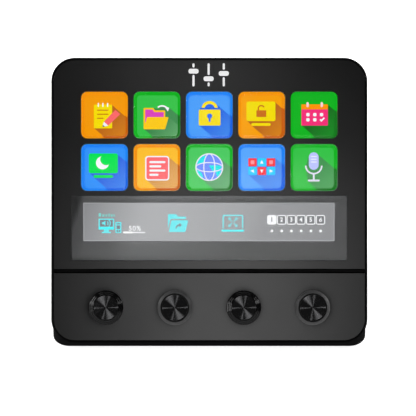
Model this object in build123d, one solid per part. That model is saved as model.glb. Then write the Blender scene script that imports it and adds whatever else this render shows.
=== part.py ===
from build123d import *
import os
from math import sin, cos, tan, radians, sqrt

# Desk stream controller: a flat slab with ten clear push keys over a display,
# a long touch strip and four push-and-turn knobs, leaning on a wedge stand.
#
# Row frame: +Z up, +X to the right seen from the front, -Y towards the user,
# origin on the desk under the middle of the bounding box.
# Slab frame: x right, v up along the sloping face (0 at the slab's lower edge),
# w out of the face (0 on the face of the two front plates). All millimetres.

# ---------------------------------------------------------------- dimensions
FACE_TILT = 48.0                 # slope of the face above the desk, degrees
BODY_W, BODY_H, BODY_R = 138.0, 124.4, 10.3
BODY_T = 22.0                    # slab thickness, face to back
BACK_HEIGHT = 5.0                # lower back edge of the slab above the desk
ORIGIN_Y = -47.90                # puts the bounding box's middle on Y = 0

WALL = 2.2
LIP = 0.70                       # thin rim that frames the front plates
LIP_DROP = 0.35
PLATE_INSET = 1.05
PLATE_T = 2.0
PLATE_EDGE_R = 0.15
SEAM_W = -17.0                   # parting line of frame and rear cover
COVER_T = 2.0
BACK_EDGE_R = 2.5

GROOVE_LOW, GROOVE_HIGH = 30.42, 32.17     # dark gap between the two plates

KEY_PITCH = 22.85
KEY_MID_V = 87.9
KEY_SIZE, KEY_R = 20.3, 2.6
KEY_TOP, KEY_BOTTOM = 1.6, -5.0
KEY_EDGE_R = 1.0
KEY_FLANGE = 21.9
KEY_TRAVEL = 1.5
KEY_WINDOW = 20.8

GLASS_W, GLASS_H, GLASS_MID_V = 120.1, 28.2, 50.0
SCREEN_W, SCREEN_H, SCREEN_MID_V = 109.9, 17.07, 52.52

KNOB_PITCH = 29.95
KNOB_V = 15.5
KNOB_R = 7.53
KNOB_LOW, KNOB_TOP = 0.9, 12.0
KNOB_RING_R = 6.3                # inner edge of the top chamfer
KNOB_EDGE = 1.2                  # height of that chamfer
KNOB_RECESS_R = 6.1
DISC_R = 5.6
SHAFT_R = 3.0
KNOB_TRAVEL = 0.5

CASE_X = 63.2                    # long case screws, down both sides
CASE_V_PANEL = (12.0, 25.0)
CASE_V_BEZEL = (38.5, 78.0, 115.5)

CLAMP_X, CLAMP_V = 60.5, (69.0, 107.0)
BOARD_X, BOARD_V = 52.0, (47.0, 101.0)
STAND_SCREW_X, STAND_SCREW_V = 45.0, (15.0, 65.0)
USB_V = 100.0

STAND_W = 138.0
STAND_FRONT_R, STAND_REAR_R = 7.2, 6.0
STAND_TOP_V = 78.0
STAND_DEPTH = 71.0
STAND_WALL = 2.2
STAND_LOW = 1.0                  # stand's lower rim above the desk
STAND_SHOW = 2.47                # how far it shows below the slab, seen square to the face
FOOT_L, FOOT_W = 16.0, 7.0

# ---------------------------------------------------------------- slab frame
S, C = sin(radians(FACE_TILT)), cos(radians(FACE_TILT))
ORIGIN_Z = BACK_HEIGHT + BODY_T * C
FACE = Location(Plane(origin=(0, ORIGIN_Y, ORIGIN_Z), x_dir=(1, 0, 0), z_dir=(0, -S, C)))

NODES = {}


def prism(sketch, w0, w1):
    return extrude(Pos(0, 0, w0) * sketch, amount=w1 - w0)


def rr(cx, cv, width, height, radius, w0, w1):
    return prism(Pos(cx, cv) * RectangleRounded(width, height, radius), w0, w1)


def box(x0, x1, v0, v1, w0, w1):
    return Pos((x0 + x1) / 2, (v0 + v1) / 2, (w0 + w1) / 2) * Box(x1 - x0, v1 - v0, w1 - w0)


def cyl(x, v, radius, w0, w1):
    return Pos(x, v, (w0 + w1) / 2) * Cylinder(radius, w1 - w0)


def outline(inset, w0, w1):
    return rr(0, BODY_H / 2, BODY_W - 2 * inset, BODY_H - 2 * inset, BODY_R - inset, w0, w1)


def top_face(part):
    return part.faces().sort_by(Axis.Z)[-1]


def low_face(part):
    return part.faces().sort_by(Axis.Z)[0]


def cross_recess(x, v, w0, w1, size=2.4, slot=0.55):
    return box(x - size / 2, x + size / 2, v - slot / 2, v + slot / 2, w0, w1) + box(
        x - slot / 2, x + slot / 2, v - size / 2, v + size / 2, w0, w1)


def node(name, shape, slab=True):
    """Keeps a piece, or a group of like pieces, in the row frame."""
    shapes = list(shape) if isinstance(shape, (list, tuple)) else [shape]
    solids = []
    for one in shapes:
        moved = one.moved(FACE) if slab else one
        solids.extend(moved.solids())
    NODES[name] = solids[0] if len(solids) == 1 else Compound(children=solids)


key_xv = [((c - 2) * KEY_PITCH, KEY_MID_V + (0.5 - r) * KEY_PITCH) for r in range(2) for c in range(5)]
knob_x = [(i - 1.5) * KNOB_PITCH for i in range(4)]
case_panel = [(sx * CASE_X, v) for sx in (-1, 1) for v in CASE_V_PANEL]
case_bezel = [(sx * CASE_X, v) for sx in (-1, 1) for v in CASE_V_BEZEL]
case_all = case_panel + case_bezel
clamp_xv = [(sx * CLAMP_X, v) for sx in (-1, 1) for v in CLAMP_V]
board_xv = [(sx * BOARD_X, v) for sx in (-1, 1) for v in BOARD_V]
stand_xv = [(sx * STAND_SCREW_X, v) for sx in (-1, 1) for v in STAND_SCREW_V]

# ---------------------------------------------------------------- front plates
plates = outline(PLATE_INSET, -PLATE_T, 0)
upper = plates & box(-80, 80, GROOVE_HIGH, 140, -10, 10)
lower = plates & box(-80, 80, -10, GROOVE_LOW, -10, 10)
upper = fillet(top_face(upper).edges(), PLATE_EDGE_R)
lower = fillet(top_face(lower).edges(), PLATE_EDGE_R)

for x, v in key_xv:
    upper -= rr(x, v, KEY_WINDOW, KEY_WINDOW, KEY_R + 0.25, -3, 1)
upper -= rr(0, GLASS_MID_V, GLASS_W + 0.4, GLASS_H + 0.4, 0.7, -1.3, 1)
upper -= rr(0, SCREEN_MID_V, SCREEN_W + 2.1, SCREEN_H + 2.1, 0.5, -3, 0)
for x, v in case_bezel:
    upper += cyl(x, v, 2.8, -6, -PLATE_T)
    upper -= cyl(x, v, 1.25, -6.1, -1.6)
for x, v in clamp_xv:
    upper += cyl(x, v, 2.2, -9.6, -PLATE_T)
    upper -= cyl(x, v, 1.0, -9.7, -2.4)
node("front_bezel", upper)

for x in knob_x:
    lower -= cyl(x, KNOB_V, 3.7, -3, 1)
for x, v in case_panel:
    lower += cyl(x, v, 2.8, -6, -PLATE_T)
    lower -= cyl(x, v, 1.25, -6.1, -1.6)
node("knob_panel", lower)

# ---------------------------------------------------------------- frame and rear cover
frame = outline(0, SEAM_W, -LIP_DROP)
frame = fillet(top_face(frame).edges(), 0.35)
frame = chamfer(low_face(frame).edges(), 0.3)
frame -= outline(WALL, SEAM_W - 1, -PLATE_T)
frame -= outline(LIP, -PLATE_T, 1)
frame += box(-67.4, 67.4, GROOVE_LOW - 1.2, GROOVE_HIGH + 1.2, -5, -PLATE_T)
for x, v in case_all:
    side = 1 if x > 0 else -1
    frame += cyl(x, v, 3.2, SEAM_W, -6)
    x0, x1 = sorted((x, side * 67.5))
    frame += box(x0, x1, v - 2.4, v + 2.4, SEAM_W, -6)
for x, v in case_all:
    frame -= cyl(x, v, 1.45, SEAM_W - 1, -5)
node("mid_frame", frame)

cover = outline(0, -BODY_T, SEAM_W)
cover = chamfer(top_face(cover).edges(), 0.3)
cover = fillet(low_face(cover).edges(), BACK_EDGE_R)
cover -= outline(WALL, -BODY_T + COVER_T, 0)
for x, v in case_all:
    side = 1 if x > 0 else -1
    x0, x1 = sorted((x, side * 67.5))
    cover += cyl(x, v, 3.6, -BODY_T + COVER_T - 0.2, SEAM_W)
    cover += box(x0, x1, v - 2.4, v + 2.4, -BODY_T + COVER_T - 0.2, SEAM_W)
for x, v in board_xv:
    cover += cyl(x, v, 2.8, -BODY_T + COVER_T - 0.2, -13.6)
for x, v in stand_xv:
    cover += cyl(x, v, 3.2, -BODY_T + COVER_T - 0.2, -16)
for x, v in case_all:
    cover -= cyl(x, v, 1.45, -BODY_T - 1, SEAM_W + 1)
    cover -= cyl(x, v, 2.75, -BODY_T - 1, -19.6)
for x, v in board_xv:
    cover -= cyl(x, v, 1.02, -19.6, -13)
for x, v in stand_xv:
    cover -= cyl(x, v, 1.5, -BODY_T - 1, -16.8)
cover -= prism(Pos(0, USB_V) * SlotOverall(9.6, 3.9), -BODY_T - 1, -18)
node("rear_cover", cover)

# ---------------------------------------------------------------- touch strip
glass = rr(0, GLASS_MID_V, GLASS_W, GLASS_H, 0.5, -1.15, -0.05)
glass = chamfer(top_face(glass).edges(), 0.15)
node("touch_glass", glass)
node("glass_mask", rr(0, GLASS_MID_V, GLASS_W - 0.4, GLASS_H - 0.4, 0.5, -1.3, -1.15)
     - rr(0, SCREEN_MID_V, SCREEN_W, SCREEN_H, 0.2, -2, 0))
node("strip_lcd", rr(0, 51.35, 114.0, 22.3, 0.5, -4.4, -2.3))
node("strip_gasket", rr(0, 51.35, 114.0, 22.3, 0.5, -2.3, -PLATE_T)
     - rr(0, SCREEN_MID_V, SCREEN_W + 1.1, SCREEN_H + 1.1, 0.4, -3, -1))


def flex(x0, x1, path, half=0.1):
    """A flat flexible cable: square-cornered runs in the v-w plane, given a thickness."""
    runs = []
    for (v0, w0), (v1, w1) in zip(path, path[1:]):
        runs.append(box(x0, x1, min(v0, v1) - half, max(v0, v1) + half,
                        min(w0, w1) - half, max(w0, w1) + half))
    whole = runs[0]
    for run in runs[1:]:
        whole += run
    return whole


node("strip_flex", flex(-10, 10, [(40.1, -4.1), (38.6, -4.1), (38.6, -11.9), (40.3, -11.9)])
     - box(-20, 20, 40.2, 60, -4.4, -2.3))

# ---------------------------------------------------------------- keys
for i, (x, v) in enumerate(key_xv, 1):
    cap = rr(x, v, KEY_SIZE, KEY_SIZE, KEY_R, KEY_BOTTOM, KEY_TOP)
    cap = fillet(top_face(cap).edges(), KEY_EDGE_R)
    cap += rr(x, v, KEY_FLANGE, KEY_FLANGE, 2.8, -3.1, -2.1)
    node(f"key_{i}", cap)

membrane = rr(0, KEY_MID_V, 115.0, 46.0, 2.0, -6.2, -5.4)
for x, v in key_xv:
    membrane += rr(x, v, KEY_FLANGE, KEY_FLANGE, 2.8, -5.4, -3.1)
for x, v in key_xv:
    membrane -= rr(x, v, 21.1, 21.1, 2.6, -7, -3)
node("key_membrane", membrane)

key_board = rr(0, KEY_MID_V, 116.0, 47.4, 1.5, -7.0, -6.2)
for x, v in key_xv:
    key_board -= rr(x, v, 21.0, 21.0, 2.4, -8, -5)
node("key_board", key_board)
node("key_lcd", rr(0, KEY_MID_V, 116.0, 48.0, 1.0, -9.6, -7.1))

clamp = rr(0, KEY_MID_V, 117.0, 48.0, 1.0, -10.4, -9.6)
for x, v in clamp_xv:
    x0, x1 = sorted((0.9 * x, x + (2.4 if x > 0 else -2.4)))
    clamp += box(x0, x1, v - 2.6, v + 2.6, -10.4, -9.6)
for x, v in clamp_xv:
    clamp -= cyl(x, v, 1.15, -11, -9)
node("lcd_clamp_plate", clamp)
node("key_lcd_flex", flex(-12, 12, [(112.0, -8.4), (113.4, -8.4), (113.4, -11.9), (109.2, -11.9)])
     - box(-20, 20, 60, 111.9, -9.6, -7.1))

# ---------------------------------------------------------------- main board
node("main_board", rr(0, 73.0, 116.0, 76.0, 2.0, -13.6, -12.0)
     - cyl(*board_xv[0], 1.15, -14, -11) - cyl(*board_xv[1], 1.15, -14, -11)
     - cyl(*board_xv[2], 1.15, -14, -11) - cyl(*board_xv[3], 1.15, -14, -11))
node("board_components", [
    box(-27, -14, 73, 86, -14.9, -13.6),         # controller
    box(4, 12, 70, 76, -14.5, -13.6),            # memory
    box(18, 21.2, 72, 74.5, -14.4, -13.6),       # clock crystal
    box(26, 32, 88, 94, -16.4, -13.6),           # supply coil
    box(14, 17, 90, 93, -14.8, -13.6),           # regulator
    box(-11, 11, 40.4, 44.4, -12.0, -10.6),      # strip connector
    box(-13, 13, 105.0, 109.1, -12.0, -10.7),    # key display connector
    box(-41, -19, 39.1, 43.0, -12.0, -10.6),     # knob board connector
])
usb = prism(Pos(0, USB_V) * SlotOverall(9.0, 3.3), -21.6, -13.6)
usb -= prism(Pos(0, USB_V) * SlotOverall(8.4, 2.7), -22, -14.8)
usb += box(-3.35, 3.35, USB_V - 0.35, USB_V + 0.35, -20.9, -14.6)
node("usb_c_port", usb)
node("encoder_flex", flex(-40, -20, [(22.0, -11.5), (32.0, -11.5)])
     + flex(-40, -20, [(32.0, -11.5), (32.0, -11.9)]) + flex(-40, -20, [(32.0, -11.9), (39.0, -11.9)]))

# ---------------------------------------------------------------- encoders
pins = [(-2.5, -5.6), (0.0, -5.6), (2.5, -5.6), (-2.5, 5.6), (2.5, 5.6)]
encoder_board = rr(0, 15.75, 116.0, 22.5, 1.0, -11.4, -9.8)
housings, bases, domes, washers, nuts = [], [], [], [], []
for x in knob_x:
    h = box(x - 6, x + 6, KNOB_V - 6.2, KNOB_V + 6.2, -7.4, -3.4)
    h += cyl(x, KNOB_V, 3.5, -3.4, 2.8)
    h -= cyl(x, KNOB_V, 3.05, -8, 3)
    h -= cyl(x, KNOB_V, 4.2, -8, -5.0)
    housings.append(h)
    b = box(x - 6, x + 6, KNOB_V - 6.2, KNOB_V + 6.2, -9.8, -7.4)
    b -= cyl(x, KNOB_V, 4.2, -9.0, -7)
    for px, pv in pins:
        b += box(x + px - 0.4, x + px + 0.4, KNOB_V + pv - 0.2, KNOB_V + pv + 0.2, -12.4, -9.7)
        encoder_board -= box(x + px - 0.55, x + px + 0.55, KNOB_V + pv - 0.35, KNOB_V + pv + 0.35, -12, -9)
    bases.append(b)
    dome = Pos(x, KNOB_V, -8.775) * Cone(3.0, 1.0, 0.45)
    dome -= Pos(x, KNOB_V, -8.835) * Cone(2.8, 0.85, 0.33)
    domes.append(dome)
    washers.append(cyl(x, KNOB_V, 5.5, 0, 0.4) - cyl(x, KNOB_V, 3.6, -1, 1))
    nuts.append(prism(Pos(x, KNOB_V) * RegularPolygon(5.19, 6), 0.4, 2.2) - cyl(x, KNOB_V, 3.55, 0, 3))
node("encoder_board", encoder_board)
node("encoder_housings", housings)
node("encoder_bases", bases)
node("encoder_domes", domes)
node("encoder_washers", washers)
node("encoder_nuts", nuts)

for i, x in enumerate(knob_x, 1):
    at = Pos(x, KNOB_V, 0)
    shaft = Pos(0, 0, 0.85) * Cylinder(SHAFT_R, 17.5)          # from -7.9 to 9.6
    shaft += Pos(0, 0, -5.6) * Cylinder(3.9, 0.8)
    shaft -= box(-5, 5, 1.5, 5, 3.2, 12)
    shaft = chamfer(top_face(shaft).edges(), 0.3)
    node(f"encoder_shaft_{i}", at * shaft)
    node(f"encoder_plunger_{i}", at * Pos(0, 0, -8.2) * Cylinder(2.4, 0.5))

    profile = Plane.XZ * make_face(Polyline(
        (0, KNOB_LOW), (KNOB_R - 0.3, KNOB_LOW), (KNOB_R, KNOB_LOW + 0.3),
        (KNOB_R, KNOB_TOP - KNOB_EDGE), (KNOB_RING_R, KNOB_TOP), (KNOB_RECESS_R, KNOB_TOP),
        (KNOB_RECESS_R, 11.0), (0, 11.0), close=True))
    knob = revolve(profile, Axis.Z)
    knob -= Pos(0, 0, 2.2) * Cylinder(6.3, 2.8)                # from 0.8 to 3.6
    bore = Pos(0, 0, 6.65) * Cylinder(SHAFT_R + 0.02, 6.3)     # from 3.5 to 9.8
    knob -= bore - box(-5, 5, 1.52, 5, 3.0, 12)
    node(f"knob_{i}", at * knob)
    disc = Pos(0, 0, 11.425) * Cylinder(DISC_R, 0.85)
    disc = chamfer(top_face(disc).edges(), 0.15)
    node(f"knob_disc_{i}", at * disc)

# ---------------------------------------------------------------- slab fasteners
screws = []
for x, v in case_all:
    s = cyl(x, v, 2.4, -21.8, -19.6) + cyl(x, v, 1.23, -19.7, -3.2)
    screws.append(s - cross_recess(x, v, -22, -20.9))
node("case_screws", screws)
node("clamp_screws", [cyl(x, v, 1.9, -11.6, -10.4) + cyl(x, v, 0.98, -10.5, -5) for x, v in clamp_xv])
node("board_screws", [cyl(x, v, 2.1, -12.0, -10.8) + cyl(x, v, 1.0, -18.5, -11.9) for x, v in board_xv])
node("stand_screws", [cyl(x, v, 2.7, -26.0, -24.2) + cyl(x, v, 1.48, -24.3, -17.2) for x, v in stand_xv])

# ---------------------------------------------------------------- stand (row frame)
FRONT_Y = ORIGIN_Y + (ORIGIN_Z - STAND_LOW) * S / C - STAND_SHOW / C
BACK_Y = FRONT_Y + STAND_DEPTH


def back_line(v, off=0.0):
    """A point of the slab's back plane, or of one that lies off below it, as (y, z)."""
    w = -BODY_T - off
    return ORIGIN_Y + v * C - w * S, ORIGIN_Z + v * S + w * C


def back_z(y, off=0.0):
    y0, z0 = back_line(0, off)
    return z0 + (y - y0) * S / C


top_y, top_z = back_line(STAND_TOP_V)
slope = (top_y - BACK_Y) / (top_z - STAND_LOW)            # rear wall, dy for each dz
rear_off = STAND_WALL * sqrt(1 + slope * slope)


def rear_y(z, off=0.0):
    return BACK_Y + (z - STAND_LOW) * slope - off


# where the rear wall's inner face meets the top wall's inner face
yb0, zb0 = back_line(0, STAND_WALL)
k = S / C
in_z = (zb0 + (BACK_Y - rear_off - slope * STAND_LOW - yb0) * k) / (1 - slope * k)
in_y = rear_y(in_z, rear_off)


def side_profile(points, width):
    face = make_face(Plane.YZ * Polyline(*points, close=True))
    return Pos(-width / 2, 0, 0) * extrude(face, amount=width, dir=(1, 0, 0))


def edges_along(part, y_low, y_high):
    """The two side edges that stand up between those depths."""
    half = part.bounding_box().max.X
    found = []
    for e in part.edges():
        a, b = e @ 0, e @ 1
        if abs(abs(a.X) - half) < 1e-4 and abs(a.X - b.X) < 1e-4 and abs(a.Z - b.Z) > 0.5 \
                and y_low - 0.01 <= min(a.Y, b.Y) and max(a.Y, b.Y) <= y_high + 0.01:
            found.append(e)
    return found


stand = side_profile([(FRONT_Y, STAND_LOW), (BACK_Y, STAND_LOW), (top_y, top_z), (FRONT_Y, back_z(FRONT_Y))], STAND_W)
stand = fillet(edges_along(stand, FRONT_Y, FRONT_Y), STAND_FRONT_R)
stand = fillet(edges_along(stand, top_y, BACK_Y), STAND_REAR_R)
stand = chamfer(low_face(stand).edges(), 0.5)

inner_w = STAND_W - 2 * STAND_WALL
inner_front = FRONT_Y + STAND_WALL
hollow = side_profile([(inner_front, STAND_LOW - 2), (rear_y(STAND_LOW - 2, rear_off), STAND_LOW - 2), (in_y, in_z),
                       (inner_front, back_z(inner_front, STAND_WALL / C * C))], inner_w)
hollow = fillet(edges_along(hollow, inner_front, inner_front), STAND_FRONT_R - STAND_WALL)
hollow = fillet(edges_along(hollow, in_y, BACK_Y + 5), STAND_REAR_R - STAND_WALL)

PLATE_TOP = STAND_LOW + 2.0
base_xy = [(sx * 60.5, y) for sx in (-1, 1) for y in (FRONT_Y + 13.0, BACK_Y - 14.0)]
foot_xy = [(sx * 46.0, y) for sx in (-1, 1) for y in (FRONT_Y + 9.0, BACK_Y - 11.0)]

shell = stand - hollow
for x, y in base_xy:
    side = 1 if x > 0 else -1
    x0, x1 = sorted((x, side * (inner_w / 2 + 0.6)))
    post = Pos(x, y, PLATE_TOP + 4.5) * Cylinder(3.0, 9.0)
    post += Pos((x0 + x1) / 2, y, PLATE_TOP + 4.5) * Box(x1 - x0, 3.0, 9.0)
    shell += post
for x, y in base_xy:
    shell -= Pos(x, y, PLATE_TOP + 4.0) * Cylinder(1.25, 9.0)
holes = [cyl(x, v, 1.7, -26, -21).moved(FACE) for x, v in stand_xv]
for h in holes:
    shell -= h
node("stand_shell", shell, slab=False)

plate_front, plate_back = inner_front + 0.2, rear_y(PLATE_TOP, rear_off) - 0.3
plate_len = plate_back - plate_front
base = extrude(Pos(0, (plate_front + plate_back) / 2, STAND_LOW)
               * RectangleRounded(inner_w - 0.5, plate_len, 4.8), amount=2.0)
feet = []
for x, y in foot_xy:
    base -= extrude(Pos(x, y, STAND_LOW - 1) * RectangleRounded(FOOT_L + 0.2, FOOT_W + 0.2, FOOT_W / 2 - 0.01), amount=1.6)
    foot = extrude(Pos(x, y, 0) * RectangleRounded(FOOT_L, FOOT_W, FOOT_W / 2 - 0.1), amount=1.6)
    feet.append(chamfer(low_face(foot).edges(), 0.35))
base_screws = []
for x, y in base_xy:
    base -= Pos(x, y, 2) * Cylinder(1.45, 6)
    base -= Pos(x, y, STAND_LOW + 0.2) * Cylinder(2.5, 2.4)      # up to 1.4 deep
    s = Pos(x, y, 1.8) * Cylinder(2.2, 1.2) + Pos(x, y, 6.3) * Cylinder(1.23, 8.0)
    base_screws.append(s - cross_recess(x, y, 0, 1.8))
node("base_plate", base, slab=False)
node("rubber_feet", feet, slab=False)
node("base_screws", base_screws, slab=False)

# ---------------------------------------------------------------- files
os.makedirs("parts", exist_ok=True)
for name in os.listdir("parts"):
    if name.endswith(".step") and name[:-5] not in NODES:
        os.remove(os.path.join("parts", name))
whole = Compound(children=[s for shape in NODES.values() for s in shape.solids()])
bb = whole.bounding_box()
print("nodes", len(NODES), "box", [round(x, 3) for x in (*bb.min, *bb.max)])
for name, shape in NODES.items():
    export_step(shape, f"parts/{name}.step")
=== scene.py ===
import bpy, bmesh
from math import sin, cos, tan, pi, radians, sqrt, hypot, atan2
from mathutils import Matrix, Vector


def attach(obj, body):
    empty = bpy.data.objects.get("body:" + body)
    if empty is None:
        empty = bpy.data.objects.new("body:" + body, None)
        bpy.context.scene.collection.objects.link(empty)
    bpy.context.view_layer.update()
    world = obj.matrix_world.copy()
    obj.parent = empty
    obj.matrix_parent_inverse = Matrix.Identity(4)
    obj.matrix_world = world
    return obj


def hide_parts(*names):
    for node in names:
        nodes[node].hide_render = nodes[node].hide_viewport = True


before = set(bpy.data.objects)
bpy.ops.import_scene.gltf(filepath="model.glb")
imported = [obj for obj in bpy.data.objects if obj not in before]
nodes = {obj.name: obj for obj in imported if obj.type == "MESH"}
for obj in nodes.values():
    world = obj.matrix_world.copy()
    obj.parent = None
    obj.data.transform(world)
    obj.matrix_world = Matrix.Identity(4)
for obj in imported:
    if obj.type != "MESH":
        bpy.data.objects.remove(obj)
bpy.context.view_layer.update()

# ------------------------------------------------------------------ slab frame
# x right, v up along the sloping face from its lower edge, w out of the face; mm here, metres in the meshes.
MM = 0.001
TILT = radians(48.0)
S, C = sin(TILT), cos(TILT)
ORIGIN = Vector((0.0, -47.90 * MM, (5.0 + 22.0 * C) * MM))
SLAB = Matrix(((1, 0, 0, ORIGIN.x), (0, C, -S, ORIGIN.y), (0, S, C, ORIGIN.z), (0, 0, 0, 1)))
OUT = Vector((0, -S, C))

KEY_PITCH, KEY_MID_V, KEY_SIZE, KEY_R = 22.85, 87.9, 20.3, 2.6
KNOB_PITCH, KNOB_V = 29.95, 15.5
USB_V = 100.0


def at(x, v, w):
    return SLAB @ Vector((x * MM, v * MM, w * MM))


# ------------------------------------------------------------------ camera
cam_data = bpy.data.cameras.new("camera")
cam = bpy.data.objects.new("camera", cam_data)
bpy.context.scene.collection.objects.link(cam)
CAM_D = 2.2
cam.location = at(-0.57, 58.80, 0) + OUT * CAM_D
cam.rotation_euler = (TILT, 0, 0)
cam_data.sensor_width = 36.0
cam_data.lens = 36.0 * CAM_D / 0.1815
cam_data.clip_start, cam_data.clip_end = 0.05, 50.0
bpy.context.scene.camera = cam
bpy.context.scene.view_settings.view_transform = "Standard"
bpy.context.scene.view_settings.look = "None"


# ------------------------------------------------------------------ materials
def lin(c):
    c = c / 255.0
    return c / 12.92 if c <= 0.04045 else ((c + 0.055) / 1.055) ** 2.4


def rgb(r, g, b):
    return (lin(r), lin(g), lin(b), 1.0)


def new_mat(name):
    m = bpy.data.materials.new(name)
    m.use_nodes = True
    return m, m.node_tree, m.node_tree.nodes["Principled BSDF"]


def add(nt, kind, **sockets):
    n = nt.nodes.new("ShaderNode" + kind)
    for k, value in sockets.items():
        n.inputs[k.replace("_", " ")].default_value = value
    return n


def math(nt, op, a, b=None, c=None, clamp=False):
    n = nt.nodes.new("ShaderNodeMath")
    n.operation, n.use_clamp = op, clamp
    for i, x in enumerate((a, b, c)):
        if x is None:
            continue
        if isinstance(x, (int, float)):
            n.inputs[i].default_value = x
        else:
            nt.links.new(x, n.inputs[i])
    return n.outputs[0]


def mix(nt, fac, a, b):
    n = nt.nodes.new("ShaderNodeMix")
    n.data_type = "RGBA"
    for i, x in ((0, fac), (6, a), (7, b)):
        if isinstance(x, (int, float, tuple)):
            n.inputs[i].default_value = x
        else:
            nt.links.new(x, n.inputs[i])
    return n.outputs[2]


def span(nt, value, lo, hi, to_lo, to_hi):
    n = nt.nodes.new("ShaderNodeMapRange")
    nt.links.new(value, n.inputs[0])
    for i, x in enumerate((lo, hi, to_lo, to_hi), 1):
        n.inputs[i].default_value = x
    return n.outputs[0]


def coords(nt, out="Object"):
    return nt.nodes.new("ShaderNodeTexCoord").outputs[out]


def noise(nt, vec, scale, detail=2.0, rough=0.5):
    n = add(nt, "TexNoise", Scale=scale, Detail=detail, Roughness=rough)
    nt.links.new(vec, n.inputs["Vector"])
    return n.outputs["Fac"]


def bump(nt, p, height, depth, strength=1.0):
    b = add(nt, "Bump", Strength=strength, Distance=depth)
    nt.links.new(height, b.inputs["Height"])
    nt.links.new(b.outputs[0], p.inputs["Normal"])


def moulded(name, dark, light, rough, spread, grain=2600.0, depth=1.2e-5, spec=0.5):
    """Moulded plastic: spark-eroded grain in the bump, a cloudy change of tone and gloss."""
    m, nt, p = new_mat(name)
    vec = coords(nt)
    cloud = noise(nt, vec, 38.0, 4.0)
    fine = noise(nt, vec, grain, 2.0, 0.6)
    speck = span(nt, fine, 0.35, 0.7, 0.0, 1.0)
    nt.links.new(mix(nt, math(nt, "MULTIPLY_ADD", cloud, 0.6, math(nt, "MULTIPLY", speck, 0.4)), dark, light), p.inputs["Base Color"])
    nt.links.new(span(nt, cloud, 0.3, 0.7, rough - spread, rough + spread), p.inputs["Roughness"])
    p.inputs["Specular IOR Level"].default_value = spec
    bump(nt, p, fine, depth)
    return m


def brushed(name, dark, light, rough, axis=(1.0, 0.02, 0.02), scale=2500.0, depth=4e-6, metal=1.0):
    """Metal with a lay: noise stretched along one axis."""
    m, nt, p = new_mat(name)
    vec = coords(nt)
    st = nt.nodes.new("ShaderNodeVectorMath")
    st.operation = "MULTIPLY"
    nt.links.new(vec, st.inputs[0])
    st.inputs[1].default_value = axis
    lay = noise(nt, st.outputs[0], scale, 3.0, 0.6)
    nt.links.new(mix(nt, lay, dark, light), p.inputs["Base Color"])
    nt.links.new(span(nt, lay, 0.3, 0.7, rough - 0.07, rough + 0.07), p.inputs["Roughness"])
    p.inputs["Metallic"].default_value = metal
    bump(nt, p, lay, depth)
    return m


def clear(name, tint, rough_lo, rough_hi, ior, spec=0.5):
    """Clear moulded plastic or glass, with a faint handled unevenness in its polish."""
    m, nt, p = new_mat(name)
    vec = coords(nt)
    p.inputs["Base Color"].default_value = tint
    p.inputs["Transmission Weight"].default_value = 1.0
    p.inputs["IOR"].default_value = ior
    nt.links.new(span(nt, noise(nt, vec, 120.0, 4.0), 0.35, 0.65, rough_lo, rough_hi), p.inputs["Roughness"])
    p.inputs["Specular IOR Level"].default_value = spec
    # lamps shine through it on what lies behind
    both, plain = nt.nodes.new("ShaderNodeMixShader"), nt.nodes.new("ShaderNodeBsdfTransparent")
    plain.inputs["Color"].default_value = (0.94, 0.95, 0.95, 1)
    nt.links.new(nt.nodes.new("ShaderNodeLightPath").outputs["Is Shadow Ray"], both.inputs[0])
    nt.links.new(p.outputs[0], both.inputs[1])
    nt.links.new(plain.outputs[0], both.inputs[2])
    out = next(n for n in nt.nodes if n.type == "OUTPUT_MATERIAL")
    nt.links.new(both.outputs[0], out.inputs["Surface"])
    return m


front_mat = moulded("front_satin_black", (0.0025, 0.0025, 0.0026, 1), (0.0042, 0.0042, 0.0044, 1), 0.30, 0.02, 3000.0, 0.5e-5, 0.3)
rear_mat = moulded("rear_black", (0.0190, 0.0190, 0.0195, 1), (0.0290, 0.0290, 0.0298, 1), 0.52, 0.05, 2200.0, 1.8e-5, 0.3)
rubber_mat = moulded("foot_rubber", (0.010, 0.010, 0.010, 1), (0.022, 0.022, 0.021, 1), 0.82, 0.06, 1400.0, 3.0e-5, 0.3)
foam_mat = moulded("seal_foam", (0.004, 0.004, 0.004, 1), (0.010, 0.010, 0.010, 1), 0.95, 0.03, 1600.0, 6.0e-5, 0.2)
membrane_mat = moulded("membrane_silicone", (0.012, 0.012, 0.013, 1), (0.022, 0.022, 0.024, 1), 0.62, 0.06, 1500.0, 1.5e-5, 0.4)
package_mat = moulded("chip_package", (0.010, 0.010, 0.011, 1), (0.03, 0.03, 0.03, 1), 0.6, 0.08, 3000.0, 1.2e-5)
encoder_plastic_mat = moulded("encoder_plastic", (0.012, 0.012, 0.012, 1), (0.03, 0.03, 0.03, 1), 0.5, 0.06, 2500.0, 1.0e-5)
steel_mat = brushed("sheet_steel", (0.42, 0.43, 0.44, 1), (0.66, 0.67, 0.68, 1), 0.32)
plated_mat = brushed("plated_metal", (0.5, 0.5, 0.5, 1), (0.7, 0.7, 0.69, 1), 0.28, (1, 1, 0.1), 1500.0)
shaft_mat = brushed("turned_shaft", (0.5, 0.5, 0.5, 1), (0.72, 0.72, 0.72, 1), 0.25, (0.05, 1, 1), 2200.0)
screw_mat = brushed("black_screw", (0.018, 0.018, 0.02, 1), (0.05, 0.05, 0.052, 1), 0.38, (1, 1, 1), 1800.0, 8e-6)
gold_mat = brushed("contact_gold", (0.75, 0.5, 0.16, 1), (0.95, 0.7, 0.3, 1), 0.22, (1, 1, 0.1), 3000.0)
key_mat = clear("key_clear", (0.985, 0.99, 1.0, 1), 0.0, 0.02, 1.20)
glass_mat = clear("strip_glass", (0.97, 0.98, 0.985, 1), 0.0, 0.02, 1.17)


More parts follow.
